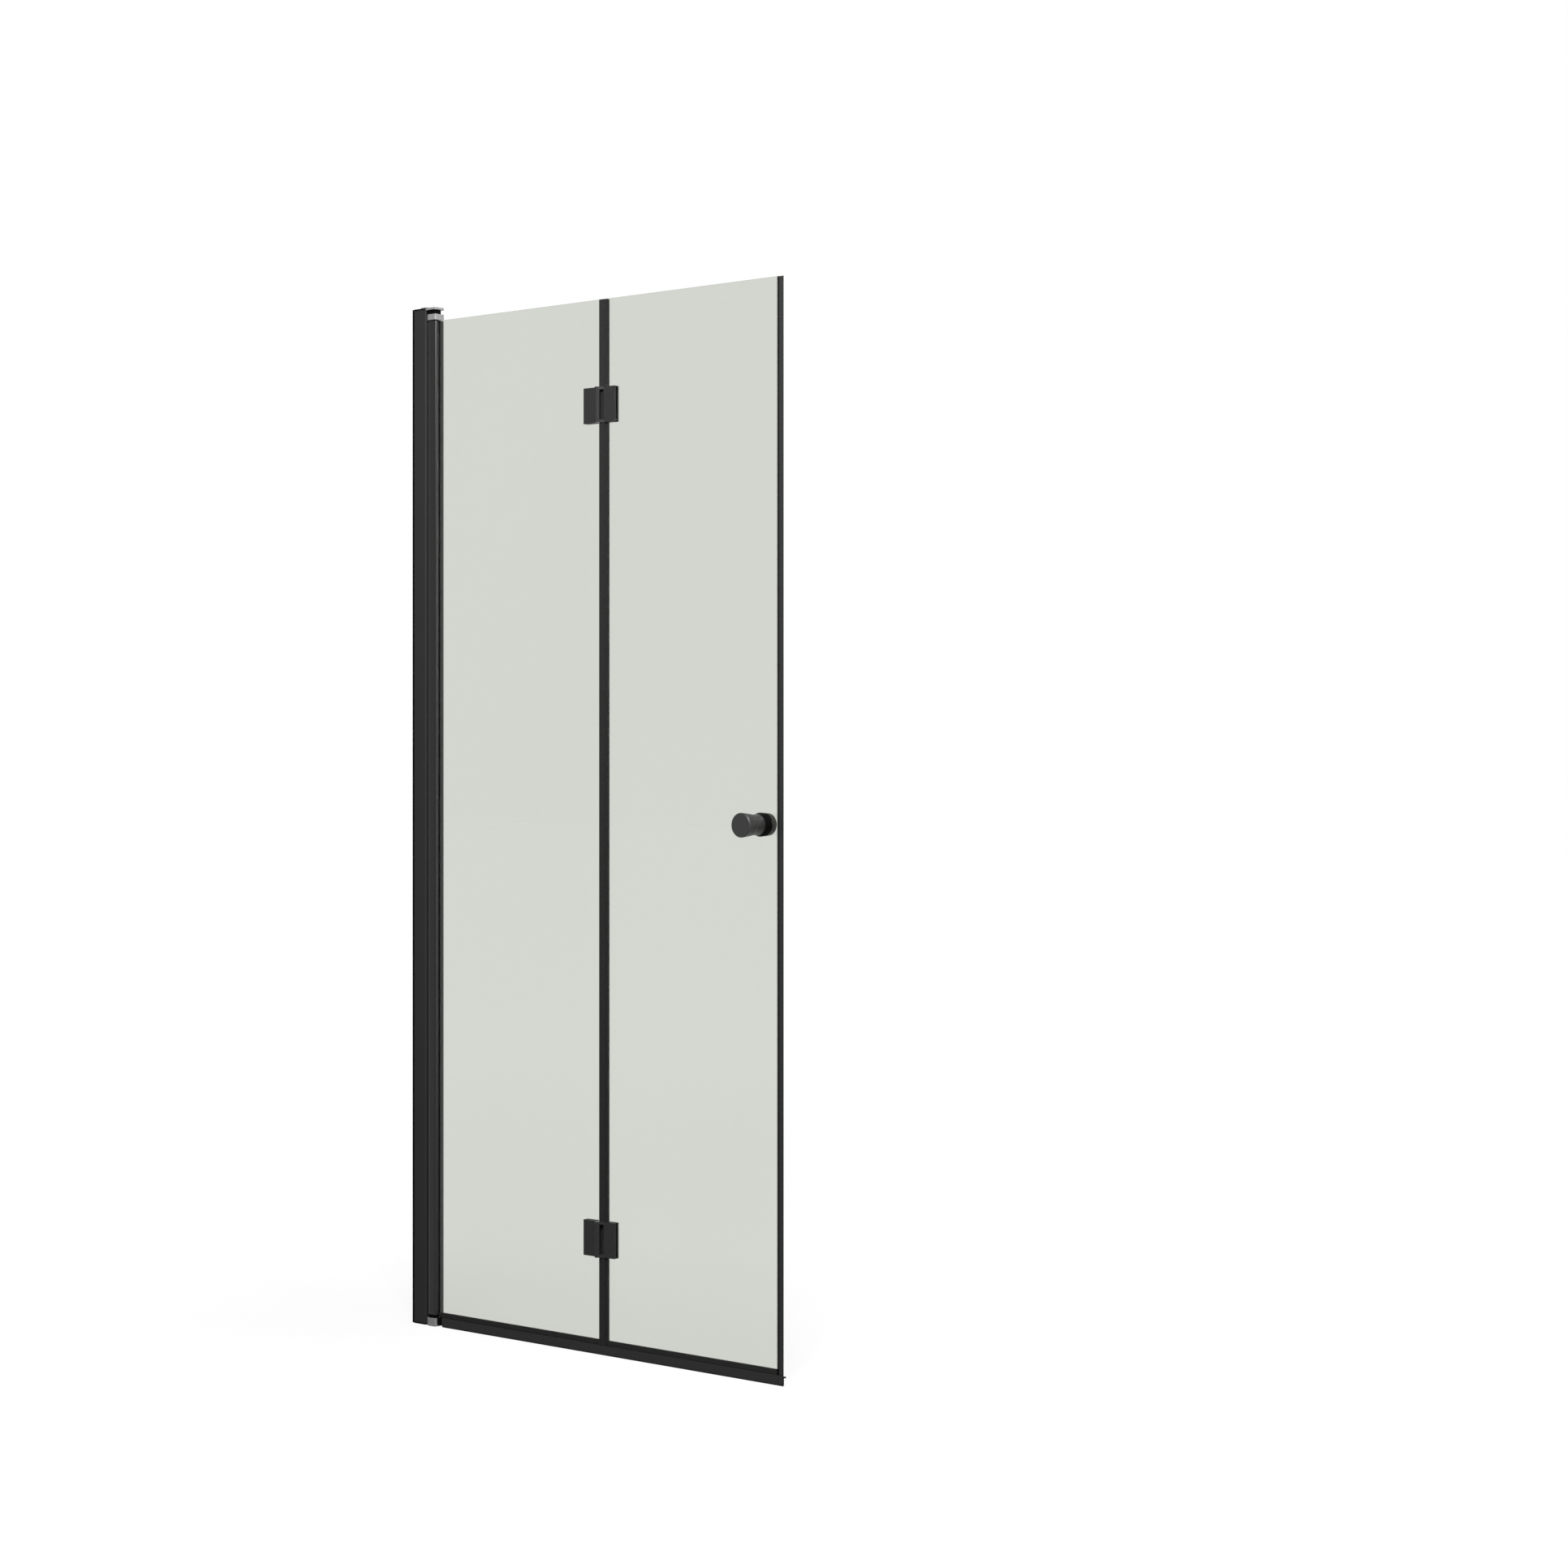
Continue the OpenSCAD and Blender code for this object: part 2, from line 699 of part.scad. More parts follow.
// seal under a leaf, in (y, z): a U that grips the glass over a solid foot
module bottom_seal(x0, x1) {
    color(soft_black) along_x(x0, x1) difference() {
        span_rect(-seal_half, seal_half, leaf_z, leaf_z + seal_h);
        span_rect(-glass_half - seat, glass_half + seat, glass_bottom - seat, leaf_z + seal_h + cut);
    }
}

module bottom_seal_1() {
    bottom_seal(pivot_end + max(lip_out, jaw_extra) + slide_gap, glass_1_end);
}

// ---------- fold hinges ----------

// outline of the wall-side outer plate: flat, ramp and knuckle
module outer_outline_1() {
    span_rect(flat_1_x, fold_x, -plate_out, -plate_in);
    polygon([[flat_1_end, -plate_out], [fold_x - ramp_run, axis_y - ramp_run],
        [fold_x, axis_y], [fold_x, -plate_out]]);
    translate([fold_x, axis_y]) circle(knuckle_r);
}

// outline of a closing-side end knuckle and the arm that carries it
module knuckle_outline_2() {
    translate([fold_x, axis_y]) circle(knuckle_r);
    polygon([[fold_x, axis_y], [fold_x + knuckle_r * 0.75, axis_y - knuckle_r * 0.4],
        [flat_2_x + cut, -plate_out], [flat_2_x + cut, -plate_in],
        [fold_x + fold_gap, -plate_in], [fold_x, axis_y + knuckle_r - cut]]);
}

module outer_plate_1(z) {
    color(black_coat) difference() {
        translate([0, 0, z - hinge_h / 2]) linear_extrude(hinge_h) outer_outline_1();
        for (z0 = [z - hinge_h / 2 - cut, z + barrel_h / 2])
            translate([fold_x - knuckle_notch_w, axis_y - knuckle_r, z0])
                cube([2 * knuckle_notch_w, 2 * plate_out, end_knuckle_h + knuckle_gap + cut]);
        translate([fold_x, axis_y, z - hinge_h / 2])
            cylinder(h = hinge_h, r = hinge_pin_r + pin_fit + bush_t + seat);
        plate_screw_bores(hinge_screw_x1, z);
    }
}

module outer_plate_2(z) {
    color(black_coat) difference() {
        union() {
            translate([0, 0, z - hinge_h / 2]) linear_extrude(hinge_h)
                span_rect(flat_2_x, flat_2_end, -plate_out, -plate_in);
            for (z0 = [z - hinge_h / 2, z + hinge_h / 2 - end_knuckle_h])
                translate([0, 0, z0]) linear_extrude(end_knuckle_h) knuckle_outline_2();
        }
        translate([fold_x, axis_y, z - hinge_h / 2 - cut])
            cylinder(h = hinge_h + 2 * cut, r = hinge_pin_r + seat);
        plate_screw_bores(hinge_screw_x2, z);
    }
}

// blind bores in an outer plate for the tips of its screws
module plate_screw_bores(x, z) {
    for (side = [-1, 1])
        rod_y(x, z + side * hinge_screw_span / 2, -plate_out + screw_tip, 0, hinge_screw_r + seat);
}

// inner plate with counterbored screw holes
module inner_plate(x, z) {
    color(black_coat) difference() {
        translate([x, plate_in, z - hinge_h / 2]) cube([flat_w, hinge_t, hinge_h]);
        for (side = [-1, 1]) {
            rod_y(x + flat_w / 2, z + side * hinge_screw_span / 2, 0, 2 * plate_out,
                hinge_screw_r + seat);
            rod_y(x + flat_w / 2, z + side * hinge_screw_span / 2, plate_out - hinge_head_t,
                2 * plate_out, hinge_head_r + seat);
        }
    }
}

// pads between the plates and both faces of the glass
module hinge_pads(x, z) {
    color(soft_black) difference() {
        for (y0 = [-plate_in + seat, glass_half + seat])
            translate([x, y0, z - hinge_h / 2]) cube([flat_w, pad_t - 2 * seat, hinge_h]);
        for (side = [-1, 1])
            rod_y(x + flat_w / 2, z + side * hinge_screw_span / 2, -plate_out, plate_out,
                hinge_screw_r + seat);
    }
}

module hinge_screws(x, z) {
    color(steel) for (side = [-1, 1])
        screw_y(x, z + side * hinge_screw_span / 2, -plate_out + screw_tip + seat,
            plate_out - hinge_head_t + seat, hinge_screw_r, hinge_head_r,
            hinge_head_t - 2 * seat, hinge_screw_r * 0.7);
}

module hinge_pin(z) {
    color(steel) translate([fold_x, axis_y, z - hinge_h / 2]) cylinder(h = hinge_h, r = hinge_pin_r);
}

module hinge_bush(z) {
    color("white") translate([fold_x, axis_y, z - barrel_h / 2]) difference() {
        cylinder(h = barrel_h, r = hinge_pin_r + pin_fit + bush_t);
        translate([0, 0, -cut]) cylinder(h = barrel_h + 2 * cut, r = hinge_pin_r + pin_fit);
    }
}

// ---------- closing-side leaf ----------

module glass_panel_2() {
    color(glass_tint) difference() {
        translate([glass_2_x, -glass_half, glass_bottom])
            cube([glass_2_end - glass_2_x, glass_t, glass_top - glass_bottom]);
        hinge_holes(hinge_screw_x2);
        rod_y(knob_x, knob_z, -glass_t, glass_t, sleeve_r + seat);
    }
}

// round-nosed seal on the fold edge of the closing-side glass, notched at the hinges
module fold_seal() {
    nose_r = 2;
    color(soft_black) difference() {
        translate([0, 0, leaf_z]) linear_extrude(seal_top - leaf_z) difference() {
            union() {
                round_rect(leaf_2_x, fold_flange_x, -fold_nose_d / 2, fold_nose_d / 2, nose_r);
                span_rect(fold_flange_x - nose_r, fold_flange_x, -fold_nose_d / 2, fold_nose_d / 2);
                span_rect(fold_flange_x - cut, fold_flange_end, -seal_half, seal_half);
            }
            span_rect(leaf_2_x + fold_core_w, fold_flange_end + cut,
                -glass_half - seat, glass_half + seat);
        }
        for (z = hinge_zs) {
            translate([leaf_2_x - cut, -fold_nose_d, z - notch_h / 2])
                cube([fold_nose_w + fold_flange_w + 2 * cut, fold_nose_d - glass_half, notch_h]);
            translate([flat_2_x - knuckle_gap, 0, z - notch_h / 2])
                cube([fold_nose_w + fold_flange_w + 2 * cut, fold_nose_d, notch_h]);
        }
    }
}

module bottom_seal_2() {
    bottom_seal(fold_flange_end + slide_gap, closing_lip_x - slide_gap);
}

// outline of the closing profile: lips on the glass, body and mitred closing face
module closing_outline() {
    polygon([[closing_lip_x, -seal_half], [closing_x, -seal_half], [closing_x, -closing_half],
        [closing_corner, -closing_half], [mitre_sum - closing_half, closing_half],
        [closing_lip_x + closing_lip_w / 2, closing_half],
        [closing_lip_x + closing_lip_w / 2, seal_half], [closing_lip_x, seal_half]]);
}

module closing_profile() {
    color(black_coat) translate([0, 0, leaf_z]) linear_extrude(seal_top - leaf_z) difference() {
        closing_outline();
        span_rect(closing_lip_x - cut, glass_2_end + seat, -glass_half - seat, glass_half + seat);
        magnet_outline(0);
    }
}

// outline of the magnet in the mitred face, or of its pocket when fit is 0
module magnet_outline(fit) {
    translate([mitre_sum, 0]) rotate([0, 0, 45])
        span_rect(-magnet_t + fit, fit > 0 ? -fit : cut, -magnet_w / 2 + fit, magnet_w / 2 - fit);
}

module magnet_strip() {
    color(soft_black) translate([0, 0, leaf_z]) linear_extrude(seal_top - leaf_z)
        magnet_outline(seat);
}

// radius of the flare that runs from the rosette's rim into the outer knob's waist
function flare_r(y) =
    knob_waist_r + (knob_foot_r - knob_waist_r) * pow(1 - (y - flare_y) / knob_flare_l, 2);

// points of the flare between two distances from the glass
function flare_points(y0, y1, steps = 6) =
    [for (i = [0:steps]) let (y = y0 + (y1 - y0) * i / steps) [flare_r(y), y]];

// outer knob: end of the flare, waist and wider head, as radius against distance from the glass
module outer_knob() {
    face = glass_half + knob_l;
    edge = 1.5;
    shoulder_l = 4;
    head = face - knob_head_l;
    color(black_coat) turned_out(knob_x, knob_z) difference() {
        polygon(concat([[0, foot_y + seat]], flare_points(foot_y + seat, flare_y + knob_flare_l),
            [[knob_waist_r, head - shoulder_l], [knob_neck_r, head], [knob_face_r, face - 2 * edge],
            [knob_face_r, face - edge], [knob_face_r - edge, face], [0, face]]));
        translate([0, -cut]) square([stud_r + seat, stud_out + cut]);
    }
}

module knob_rosette() {
    base = rosette_y + seat;
    edge = 0.6;
    color(soft_black) turned_out(knob_x, knob_z) difference() {
        polygon(concat([[0, base], [knob_foot_r - edge, base], [knob_foot_r, base + edge]],
            flare_points(flare_y, foot_y), [[0, foot_y]]));
        translate([0, -cut]) square([stud_r + seat, knob_l]);
    }
}

module inner_knob() {
    base = glass_half + washer_t + seat;
    face = base + inner_knob_l;
    edge = 1.2;
    color(black_coat) turned_in(knob_x, knob_z) difference() {
        polygon([[0, base], [inner_knob_r - edge, base], [inner_knob_r, base + edge],
            [inner_face_r, face - edge], [inner_face_r - edge, face], [0, face]]);
        translate([0, -cut]) square([stud_r + seat, base + stud_in + cut]);
    }
}

module knob_stud() {
    color(steel) rod_y(knob_x, knob_z, -stud_out + seat, glass_half + washer_t + stud_in, stud_r);
}

module knob_washers() {
    washer_r = inner_knob_r - 0.8;
    color(soft_black) difference() {
        for (y0 = [-glass_half - washer_t + seat, glass_half + seat])
            rod_y(knob_x, knob_z, y0, y0 + washer_t - 2 * seat, washer_r);
        rod_y(knob_x, knob_z, -knob_l, knob_l, stud_r + seat);
    }
}

module knob_sleeve() {
    color("white") difference() {
        rod_y(knob_x, knob_z, -glass_half, glass_half, sleeve_r);
        rod_y(knob_x, knob_z, -knob_l, knob_l, stud_r + seat);
    }
}

wall_channel();
adjusting_profile();
adjusting_screws();
screw_caps();
top_bracket();
top_bearing_block();
top_end_cap();
bottom_end_cap();
spacer_block();
bottom_bracket();
bracket_screws();
top_pivot_pin();
bottom_pivot_pin();
threshold_rail();
bedding_strip();
threshold_connector();
threshold_end_cap();
pivot_profile();
top_pivot_insert();
bottom_pivot_insert();
pivot_washer(glass_top, block_z);  // top_washer
pivot_washer(bottom_block_h, leaf_z);  // thrust_washer
glazing_gasket();
glass_panel_1();
bottom_seal_1();
outer_plate_1(hinge_zs[0]);  // upper_outer_plate_1
inner_plate(flat_1_x, hinge_zs[0]);  // upper_inner_plate_1
hinge_pads(flat_1_x, hinge_zs[0]);  // upper_pads_1
hinge_screws(hinge_screw_x1, hinge_zs[0]);  // upper_screws_1
hinge_pin(hinge_zs[0]);  // upper_hinge_pin
outer_plate_1(hinge_zs[1]);  // lower_outer_plate_1
inner_plate(flat_1_x, hinge_zs[1]);  // lower_inner_plate_1
hinge_pads(flat_1_x, hinge_zs[1]);  // lower_pads_1
hinge_screws(hinge_screw_x1, hinge_zs[1]);  // lower_screws_1
hinge_pin(hinge_zs[1]);  // lower_hinge_pin
glass_panel_2();
fold_seal();
bottom_seal_2();
closing_profile();
magnet_strip();
outer_knob();
knob_rosette();
inner_knob();
knob_stud();
knob_washers();
knob_sleeve();
outer_plate_2(hinge_zs[0]);  // upper_outer_plate_2
inner_plate(flat_2_x, hinge_zs[0]);  // upper_inner_plate_2
hinge_pads(flat_2_x, hinge_zs[0]);  // upper_pads_2
hinge_screws(hinge_screw_x2, hinge_zs[0]);  // upper_screws_2
hinge_bush(hinge_zs[0]);  // upper_hinge_bush
outer_plate_2(hinge_zs[1]);  // lower_outer_plate_2
inner_plate(flat_2_x, hinge_zs[1]);  // lower_inner_plate_2
hinge_pads(flat_2_x, hinge_zs[1]);  // lower_pads_2
hinge_screws(hinge_screw_x2, hinge_zs[1]);  // lower_screws_2
hinge_bush(hinge_zs[1]);  // lower_hinge_bush
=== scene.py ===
"""Looks and studio for the bifold shower door. X runs along the closed door, -Y is the outside."""
import json
import math

import bpy
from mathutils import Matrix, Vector

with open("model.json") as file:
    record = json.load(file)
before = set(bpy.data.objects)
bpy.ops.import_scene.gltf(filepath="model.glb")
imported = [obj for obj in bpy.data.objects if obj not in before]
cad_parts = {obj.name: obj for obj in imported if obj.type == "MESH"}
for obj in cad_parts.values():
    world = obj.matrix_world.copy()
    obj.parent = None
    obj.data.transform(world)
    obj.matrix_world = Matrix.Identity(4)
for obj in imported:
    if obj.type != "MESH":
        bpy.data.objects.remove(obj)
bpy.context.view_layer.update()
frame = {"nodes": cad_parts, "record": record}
nodes = frame["nodes"]


def x_range(pieces):
    """Lowest and highest X of some pieces; their own axes are the frame's."""
    places = [corner[0] for obj in pieces for corner in obj.bound_box]
    return min(places), max(places)


# ---------- node helpers ----------

def new_material(name):
    """An empty node material: the material, its tree and its output node."""
    mat = bpy.data.materials.new(name)
    mat.use_nodes = True
    tree = mat.node_tree
    tree.nodes.clear()
    out = tree.nodes.new("ShaderNodeOutputMaterial")
    return mat, tree, out


def node(tree, kind, **inputs):
    """A node with some of its sockets set; an underscore stands for a space."""
    made = tree.nodes.new(kind)
    for key, value in inputs.items():
        made.inputs[key.replace("_", " ")].default_value = value
    return made


def maths(tree, operation, first, second=0.0):
    """A Math node; each operand is a socket or a number."""
    made = tree.nodes.new("ShaderNodeMath")
    made.operation = operation
    for socket, value in zip(made.inputs, (first, second)):
        if isinstance(value, (int, float)):
            socket.default_value = value
        else:
            tree.links.new(value, socket)
    return made.outputs[0]


def noise(tree, scale, detail, stretch=(1, 1, 1)):
    """Noise in object space, in metres; stretch multiplies the scale along each axis."""
    where = tree.nodes.new("ShaderNodeTexCoord")
    mapping = node(tree, "ShaderNodeMapping", Scale=stretch)
    made = node(tree, "ShaderNodeTexNoise", Scale=scale, Detail=detail)
    tree.links.new(where.outputs["Object"], mapping.inputs["Vector"])
    tree.links.new(mapping.outputs["Vector"], made.inputs["Vector"])
    return made.outputs["Fac"]


def ramp(tree, source, stops):
    """A colour ramp over source; each stop is a place and a grey or an (r, g, b)."""
    made = tree.nodes.new("ShaderNodeValToRGB")
    band = made.color_ramp
    while len(band.elements) < len(stops):
        band.elements.new(0.5)
    for element, (place, value) in zip(band.elements, stops):
        element.position = place
        colour = (value, value, value) if isinstance(value, float) else value
        element.color = (*colour, 1.0)
    tree.links.new(source, made.inputs["Fac"])
    return made.outputs["Color"]


def varied(tree, source, low, high, band=(0.3, 0.7)):
    """From low to high across a band of the source, which is the middle of a noise's range."""
    return ramp(tree, source, list(zip(band, (low, high))))


def darker(colour, share):
    """The colour with a share of it taken away."""
    return tuple(c * (1 - share) for c in colour)


def axis_of(tree, output, axis):
    """One coordinate, X, Y or Z, of a texture coordinate output such as Object or Normal."""
    where = tree.nodes.new("ShaderNodeTexCoord")
    split = tree.nodes.new("ShaderNodeSeparateXYZ")
    tree.links.new(where.outputs[output], split.inputs[0])
    return split.outputs[axis]


def blend_shaders(tree, share, first, second):
    """The first shader where share is 0, and the second where it is 1."""
    made = tree.nodes.new("ShaderNodeMixShader")
    tree.links.new(share, made.inputs["Fac"])
    tree.links.new(first, made.inputs[1])
    tree.links.new(second, made.inputs[2])
    return made.outputs[0]


# ---------- finishes ----------

GRAIN_DETAIL = 3.0
CLOUD_SCALE = 9.0       # broad clouds in the roughness
CLOUD_DETAIL = 2.0
CLOUD_DEPTH = 0.1
RELIEF_DEPTH = 0.0001   # metres
EDGE_RADIUS = 0.0004    # metres
EDGE_SAMPLES = 4


def finish_shader(tree, colour, rough, grain, bump=0.1, spread=0.12, specular=0.5, metallic=0.0,
                  stretch=(1, 1, 1)):
    """Coat, moulding, rubber or metal: fine grain in colour and relief, and soft edges."""
    shader = node(tree, "ShaderNodeBsdfPrincipled", Metallic=metallic, Specular_IOR_Level=specular)
    fine = noise(tree, grain, GRAIN_DETAIL, stretch)
    cloud = noise(tree, CLOUD_SCALE, CLOUD_DETAIL)
    tint = varied(tree, fine, darker(colour, spread), darker(colour, -spread))
    roughness = varied(tree, cloud, rough * (1 - CLOUD_DEPTH), rough * (1 + CLOUD_DEPTH))
    rounded = node(tree, "ShaderNodeBevel", Radius=EDGE_RADIUS)
    rounded.samples = EDGE_SAMPLES
    relief = node(tree, "ShaderNodeBump", Strength=bump, Distance=RELIEF_DEPTH)
    tree.links.new(tint, shader.inputs["Base Color"])
    tree.links.new(roughness, shader.inputs["Roughness"])
    tree.links.new(fine, relief.inputs["Height"])
    tree.links.new(rounded.outputs[0], relief.inputs["Normal"])
    tree.links.new(relief.outputs["Normal"], shader.inputs["Normal"])
    return shader.outputs["BSDF"]


def finish(name, **values):
    """A material of one finish_shader, with these values."""
    mat, tree, out = new_material(name)
    tree.links.new(finish_shader(tree, **values), out.inputs["Surface"])
    return mat


COAT_GRAIN = 1400.0
LACQUER_GRAIN = 900.0
RUBBER_GRAIN = 350.0
COAT = dict(colour=(0.031, 0.031, 0.0314), rough=0.27, grain=COAT_GRAIN, bump=0.08, specular=0.13)
RUBBER = dict(colour=(0.004, 0.004, 0.004), rough=0.5, grain=RUBBER_GRAIN, bump=0.06,
              specular=0.02)

LIP_SHARES = [(0.0, 0.2), (0.5, 0.6), (0.85, 1.0)]  # how black the lip is on the way to its root
LIP_ROOT = 0.0036       # metres from the lip's edge to its root
LIP_W = 0.0056          # metres from the lip's edge to the coated body


def lipped(name, piece):
    """Coated profile whose soft lips run from nearly clear at their edge to black at their root."""
    mat, tree, out = new_material(name)
    lip_x = x_range([piece])[0]
    coat = finish_shader(tree, **COAT)
    rubber = finish_shader(tree, **RUBBER)
    clear = node(tree, "ShaderNodeBsdfTransparent")
    place = axis_of(tree, "Object", "X")
    along = maths(tree, "DIVIDE", maths(tree, "SUBTRACT", place, lip_x), LIP_ROOT)
    lip = blend_shaders(tree, ramp(tree, along, LIP_SHARES), clear.outputs[0], rubber)
    body = maths(tree, "GREATER_THAN", place, lip_x + LIP_W)
    tree.links.new(blend_shaders(tree, body, lip, coat), out.inputs["Surface"])
    return mat


# ---------- glass ----------

GLASS_IOR = 1.5
WAVE_SCALE = 3.0        # a faint wave in the pane's tint, drawn out along the height
WAVE_DETAIL = 1.0
WAVE_STRETCH = (1, 1, 0.25)
WAVE_BAND = (0.35, 0.65)
WAVE_DEPTH = 0.006
GROUND_ROUGH = 0.3
GRIT_SCALE = 260.0
GRIT_DETAIL = 2.0
GRIT_DEPTH = 0.2
FACE_TURN = 0.7         # a face whose normal has more Y than this is the pane, not an edge


def glass_shader(tree, rough, tint):
    """Glass of one roughness, its tint a socket."""
    shader = node(tree, "ShaderNodeBsdfPrincipled", Roughness=rough, IOR=GLASS_IOR,
                  Transmission_Weight=1.0)
    tree.links.new(tint, shader.inputs["Base Color"])
    return shader.outputs["BSDF"]


def safety_glass(name, tint, edge_tint):
    """Clear toughened glass with a faint wave in its tint, and deeper green ground edges."""
    mat, tree, out = new_material(name)
    wave = noise(tree, WAVE_SCALE, WAVE_DETAIL, WAVE_STRETCH)
    grit = noise(tree, GRIT_SCALE, GRIT_DETAIL)
    pane = glass_shader(tree, 0.0, varied(tree, wave, darker(tint, WAVE_DEPTH), tint, WAVE_BAND))
    ground = glass_shader(tree, GROUND_ROUGH,
                          varied(tree, grit, darker(edge_tint, GRIT_DEPTH), edge_tint))
    facing = maths(tree, "ABSOLUTE", axis_of(tree, "Normal", "Y"))
    flat = maths(tree, "GREATER_THAN", facing, FACE_TURN)
    tree.links.new(blend_shaders(tree, flat, ground, pane), out.inputs["Surface"])
    return mat


# ---------- which piece gets which material ----------

FINISH = {
    "black_aluminium": finish("black_powder_coat", **COAT),
    # painted shade: the wall channel's recessed strip is coloured nearly black, without sheen, for
    # the shade it lies in
    "dark_aluminium": finish("painted_shade_powder_coat", colour=(0.001, 0.001, 0.001), rough=0.6,
                             grain=COAT_GRAIN, bump=0.15, specular=0.0),
    "satin_black": finish("satin_lacquer", colour=(0.018, 0.018, 0.0182), rough=0.4,
                          grain=LACQUER_GRAIN, bump=0.02, spread=0.05),
    "black_moulding": finish("black_moulding", colour=(0.004, 0.004, 0.004), rough=0.5,
                             grain=500.0, bump=0.08, specular=0.02),
    "black_seal": finish("black_seal", colour=(0.03, 0.03, 0.0295), rough=0.5,
                         grain=RUBBER_GRAIN, bump=0.06, specular=0.05),
    "grey_moulding": finish("grey_moulding", colour=(0.32, 0.32, 0.318), rough=0.3, grain=600.0,
                            bump=0.03, spread=0.03, specular=0.4),
    "white_moulding": finish("white_moulding", colour=(0.72, 0.72, 0.7), rough=0.4, grain=500.0,
                             bump=0.05, spread=0.03),
    "steel": finish("brushed_steel", colour=(0.55, 0.55, 0.56), rough=0.28, grain=700.0,
                    metallic=1.0, stretch=(1, 1, 12)),
    "clear_glass": safety_glass("safety_glass", (0.65, 0.67, 0.617), (0.2, 0.34, 0.27)),
}
# pieces that differ from their slot: a profile with lips; copies of the one black coat, duller and
# painted lighter on the wall profile, with more sheen and painted darker on the pivot profile; and
# a lighter copy of the knob lacquer behind the glass, painted light for what the glass holds back
SPECIAL = {
    "closing_profile": lipped("lipped_powder_coat", nodes["closing_profile"]),
    # painted light: a lighter copy of the black coat, for the level it loses with less sheen
    "adjusting_profile": finish("dull_powder_coat_painted_light", colour=(0.036, 0.036, 0.0364), rough=0.6,
                                grain=COAT_GRAIN, specular=0.08),
    # painted shade: a darker copy of the black coat, keeping its front dark beside the sheen
    "pivot_profile": finish("sheen_powder_coat_painted_shade", colour=(0.01, 0.01, 0.0101), rough=0.25,
                            grain=COAT_GRAIN, bump=0.05, specular=0.36),
    # painted light: a lighter copy of the knob lacquer, for the lamp light that the glass holds
    # back
    "inner_knob": finish("satin_lacquer_painted_light", colour=(0.06, 0.059, 0.058), rough=0.3,
                         grain=LACQUER_GRAIN, bump=0.02, spread=0.05, specular=0.3),
}
slots = {part["node"]: part["material_slot"] for part in frame["record"]["subparts"]}
for name, obj in nodes.items():
    obj.data.materials.clear()
    obj.data.materials.append(SPECIAL.get(name, FINISH[slots[name]]))


# ---------- floor and world ----------

WHITE = (1, 1, 1, 1)
REFLECTED = 0.75        # level of the white surroundings in reflections
SKY = 0.15              # level of the light that the world gives
FLOOR_SIZE = 60
FLOOR_GAP = 0.0004
FLOOR_GREY = 0.15
# how brightly the floor glows at each share of LEVEL_SPAN, in metres, away from the door
LEVELS = [(0.02, 0.88), (0.12, 0.95), (0.6, 0.985)]
LEVEL_SPAN = 8.0


def seen(tree, **rays):
    """Each named kind of ray, such as Camera, gets its level, and other rays get 0."""
    path = tree.nodes.new("ShaderNodeLightPath")
    total = 0.0
    for ray, level in rays.items():
        share = maths(tree, "MULTIPLY", path.outputs["Is " + ray + " Ray"], level)
        total = maths(tree, "MAXIMUM", share, total)
    return total


def white_surroundings(tree):
    """The strength with which the floor and the world show, to the camera and in the object."""
    return seen(tree, Camera=1.0, Transmission=1.0, Glossy=REFLECTED)


def door_distance(tree):
    """Distance on the floor from the line that the closed door stands on."""
    half = x_range(nodes.values())[1] / 2
    centred = maths(tree, "SUBTRACT", axis_of(tree, "Object", "X"), half)
    beside = maths(tree, "SUBTRACT", maths(tree, "ABSOLUTE", centred), half)
    beside = maths(tree, "MAXIMUM", beside, 0.0)
    across = axis_of(tree, "Object", "Y")
    squares = maths(tree, "ADD", maths(tree, "MULTIPLY", beside, beside),
                    maths(tree, "MULTIPLY", across, across))
    return maths(tree, "SQRT", squares)


def floor_material(name):
    """Grey under the lamps, so that the shadow shows, and white to the camera."""
    mat, tree, out = new_material(name)
    lit = node(tree, "ShaderNodeBsdfDiffuse", Color=(FLOOR_GREY, FLOOR_GREY, FLOOR_GREY, 1))
    glow = node(tree, "ShaderNodeEmission")
    level = ramp(tree, maths(tree, "DIVIDE", door_distance(tree), LEVEL_SPAN), LEVELS)
    tree.links.new(level, glow.inputs["Color"])
    tree.links.new(white_surroundings(tree), glow.inputs["Strength"])
    both = tree.nodes.new("ShaderNodeAddShader")
    tree.links.new(lit.outputs[0], both.inputs[0])
    tree.links.new(glow.outputs[0], both.inputs[1])
    tree.links.new(both.outputs[0], out.inputs["Surface"])
    return mat


def plane(name, size, height):
    """A square floor around the origin, at this height."""
    mesh = bpy.data.meshes.new(name)
    h = size / 2
    mesh.from_pydata([(-h, -h, 0), (h, -h, 0), (h, h, 0), (-h, h, 0)], [], [(0, 1, 2, 3)])
    obj = bpy.data.objects.new(name, mesh)
    obj.location = (0, 0, height)
    bpy.context.collection.objects.link(obj)
    return obj


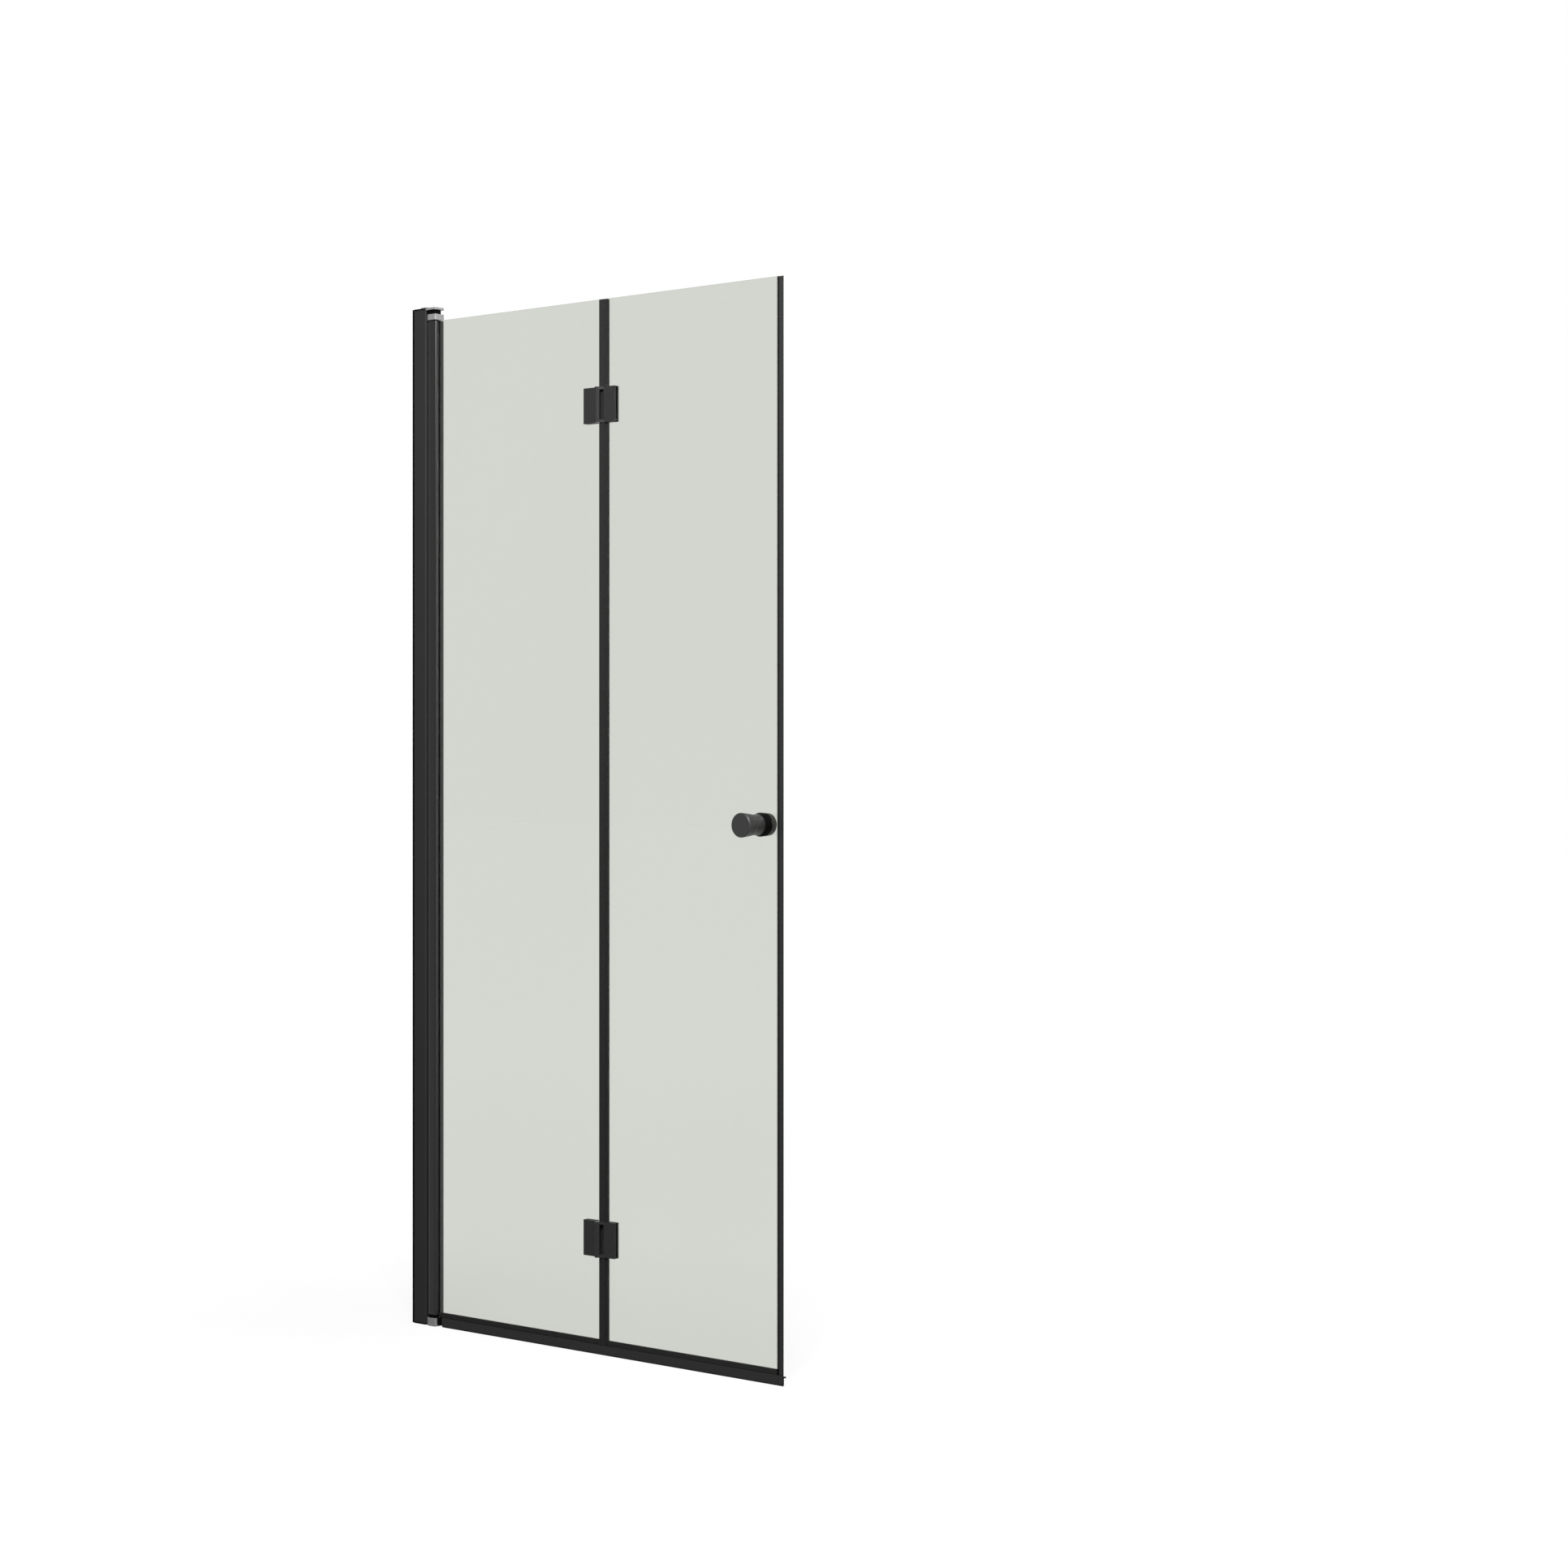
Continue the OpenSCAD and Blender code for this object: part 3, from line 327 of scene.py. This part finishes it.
def white_world(name):
    """A world that gives a little light and shows white."""
    world = bpy.data.worlds.new(name)
    world.use_nodes = True
    tree = world.node_tree
    tree.nodes.clear()
    out = tree.nodes.new("ShaderNodeOutputWorld")
    backdrop = node(tree, "ShaderNodeBackground", Color=WHITE)
    strength = maths(tree, "MAXIMUM", white_surroundings(tree), SKY)
    tree.links.new(strength, backdrop.inputs["Strength"])
    tree.links.new(backdrop.outputs[0], out.inputs["Surface"])
    return world


floor = plane("studio_floor", FLOOR_SIZE, -FLOOR_GAP)
floor.data.materials.append(floor_material("studio_floor"))
bpy.context.scene.world = white_world("studio")


# ---------- lamps ----------

def lamp(name, place, aim, size, power):
    """A rectangular lamp at place that points at aim; size is its width and height."""
    data = bpy.data.lights.new(name, "AREA")
    data.shape = "RECTANGLE"
    data.size, data.size_y = size
    data.energy = power
    obj = bpy.data.objects.new(name, data)
    obj.location = place
    obj.rotation_euler = (Vector(aim) - Vector(place)).to_track_quat("-Z", "Y").to_euler()
    bpy.context.collection.objects.link(obj)


lamp("key", place=(1.85, -1.74, 2.7), aim=(0.3, 0, 1.2), size=(0.8, 0.8), power=85)
lamp("side", place=(4.2, -0.6, 1.2), aim=(0.45, 0, 1.1), size=(0.9, 2.4), power=32)
lamp("back", place=(3.5, 1.6, 1.8), aim=(0.6, 0, 1.0), size=(1.0, 1.0), power=22)


# ---------- camera ----------

IMAGE_PIXELS = 1932
FOCAL_PIXELS = 3589
SHIFT_PIXELS = -35
SENSOR = 36.0
CAMERA_PLACE = (3.9935, -3.8665, 1.0716)
CAMERA_TURN = 38.72     # degrees from looking along Y
LEVEL_TILT = 90

camera_data = bpy.data.cameras.new("camera")
camera_data.sensor_fit = "HORIZONTAL"
camera_data.sensor_width = SENSOR
camera_data.lens = FOCAL_PIXELS / IMAGE_PIXELS * SENSOR
camera_data.shift_y = SHIFT_PIXELS / IMAGE_PIXELS
camera = bpy.data.objects.new("camera", camera_data)
camera.location = CAMERA_PLACE
camera.rotation_euler = (math.radians(LEVEL_TILT), 0, math.radians(CAMERA_TURN))
bpy.context.collection.objects.link(camera)
bpy.context.scene.camera = camera
bpy.context.scene.view_settings.view_transform = "Standard"
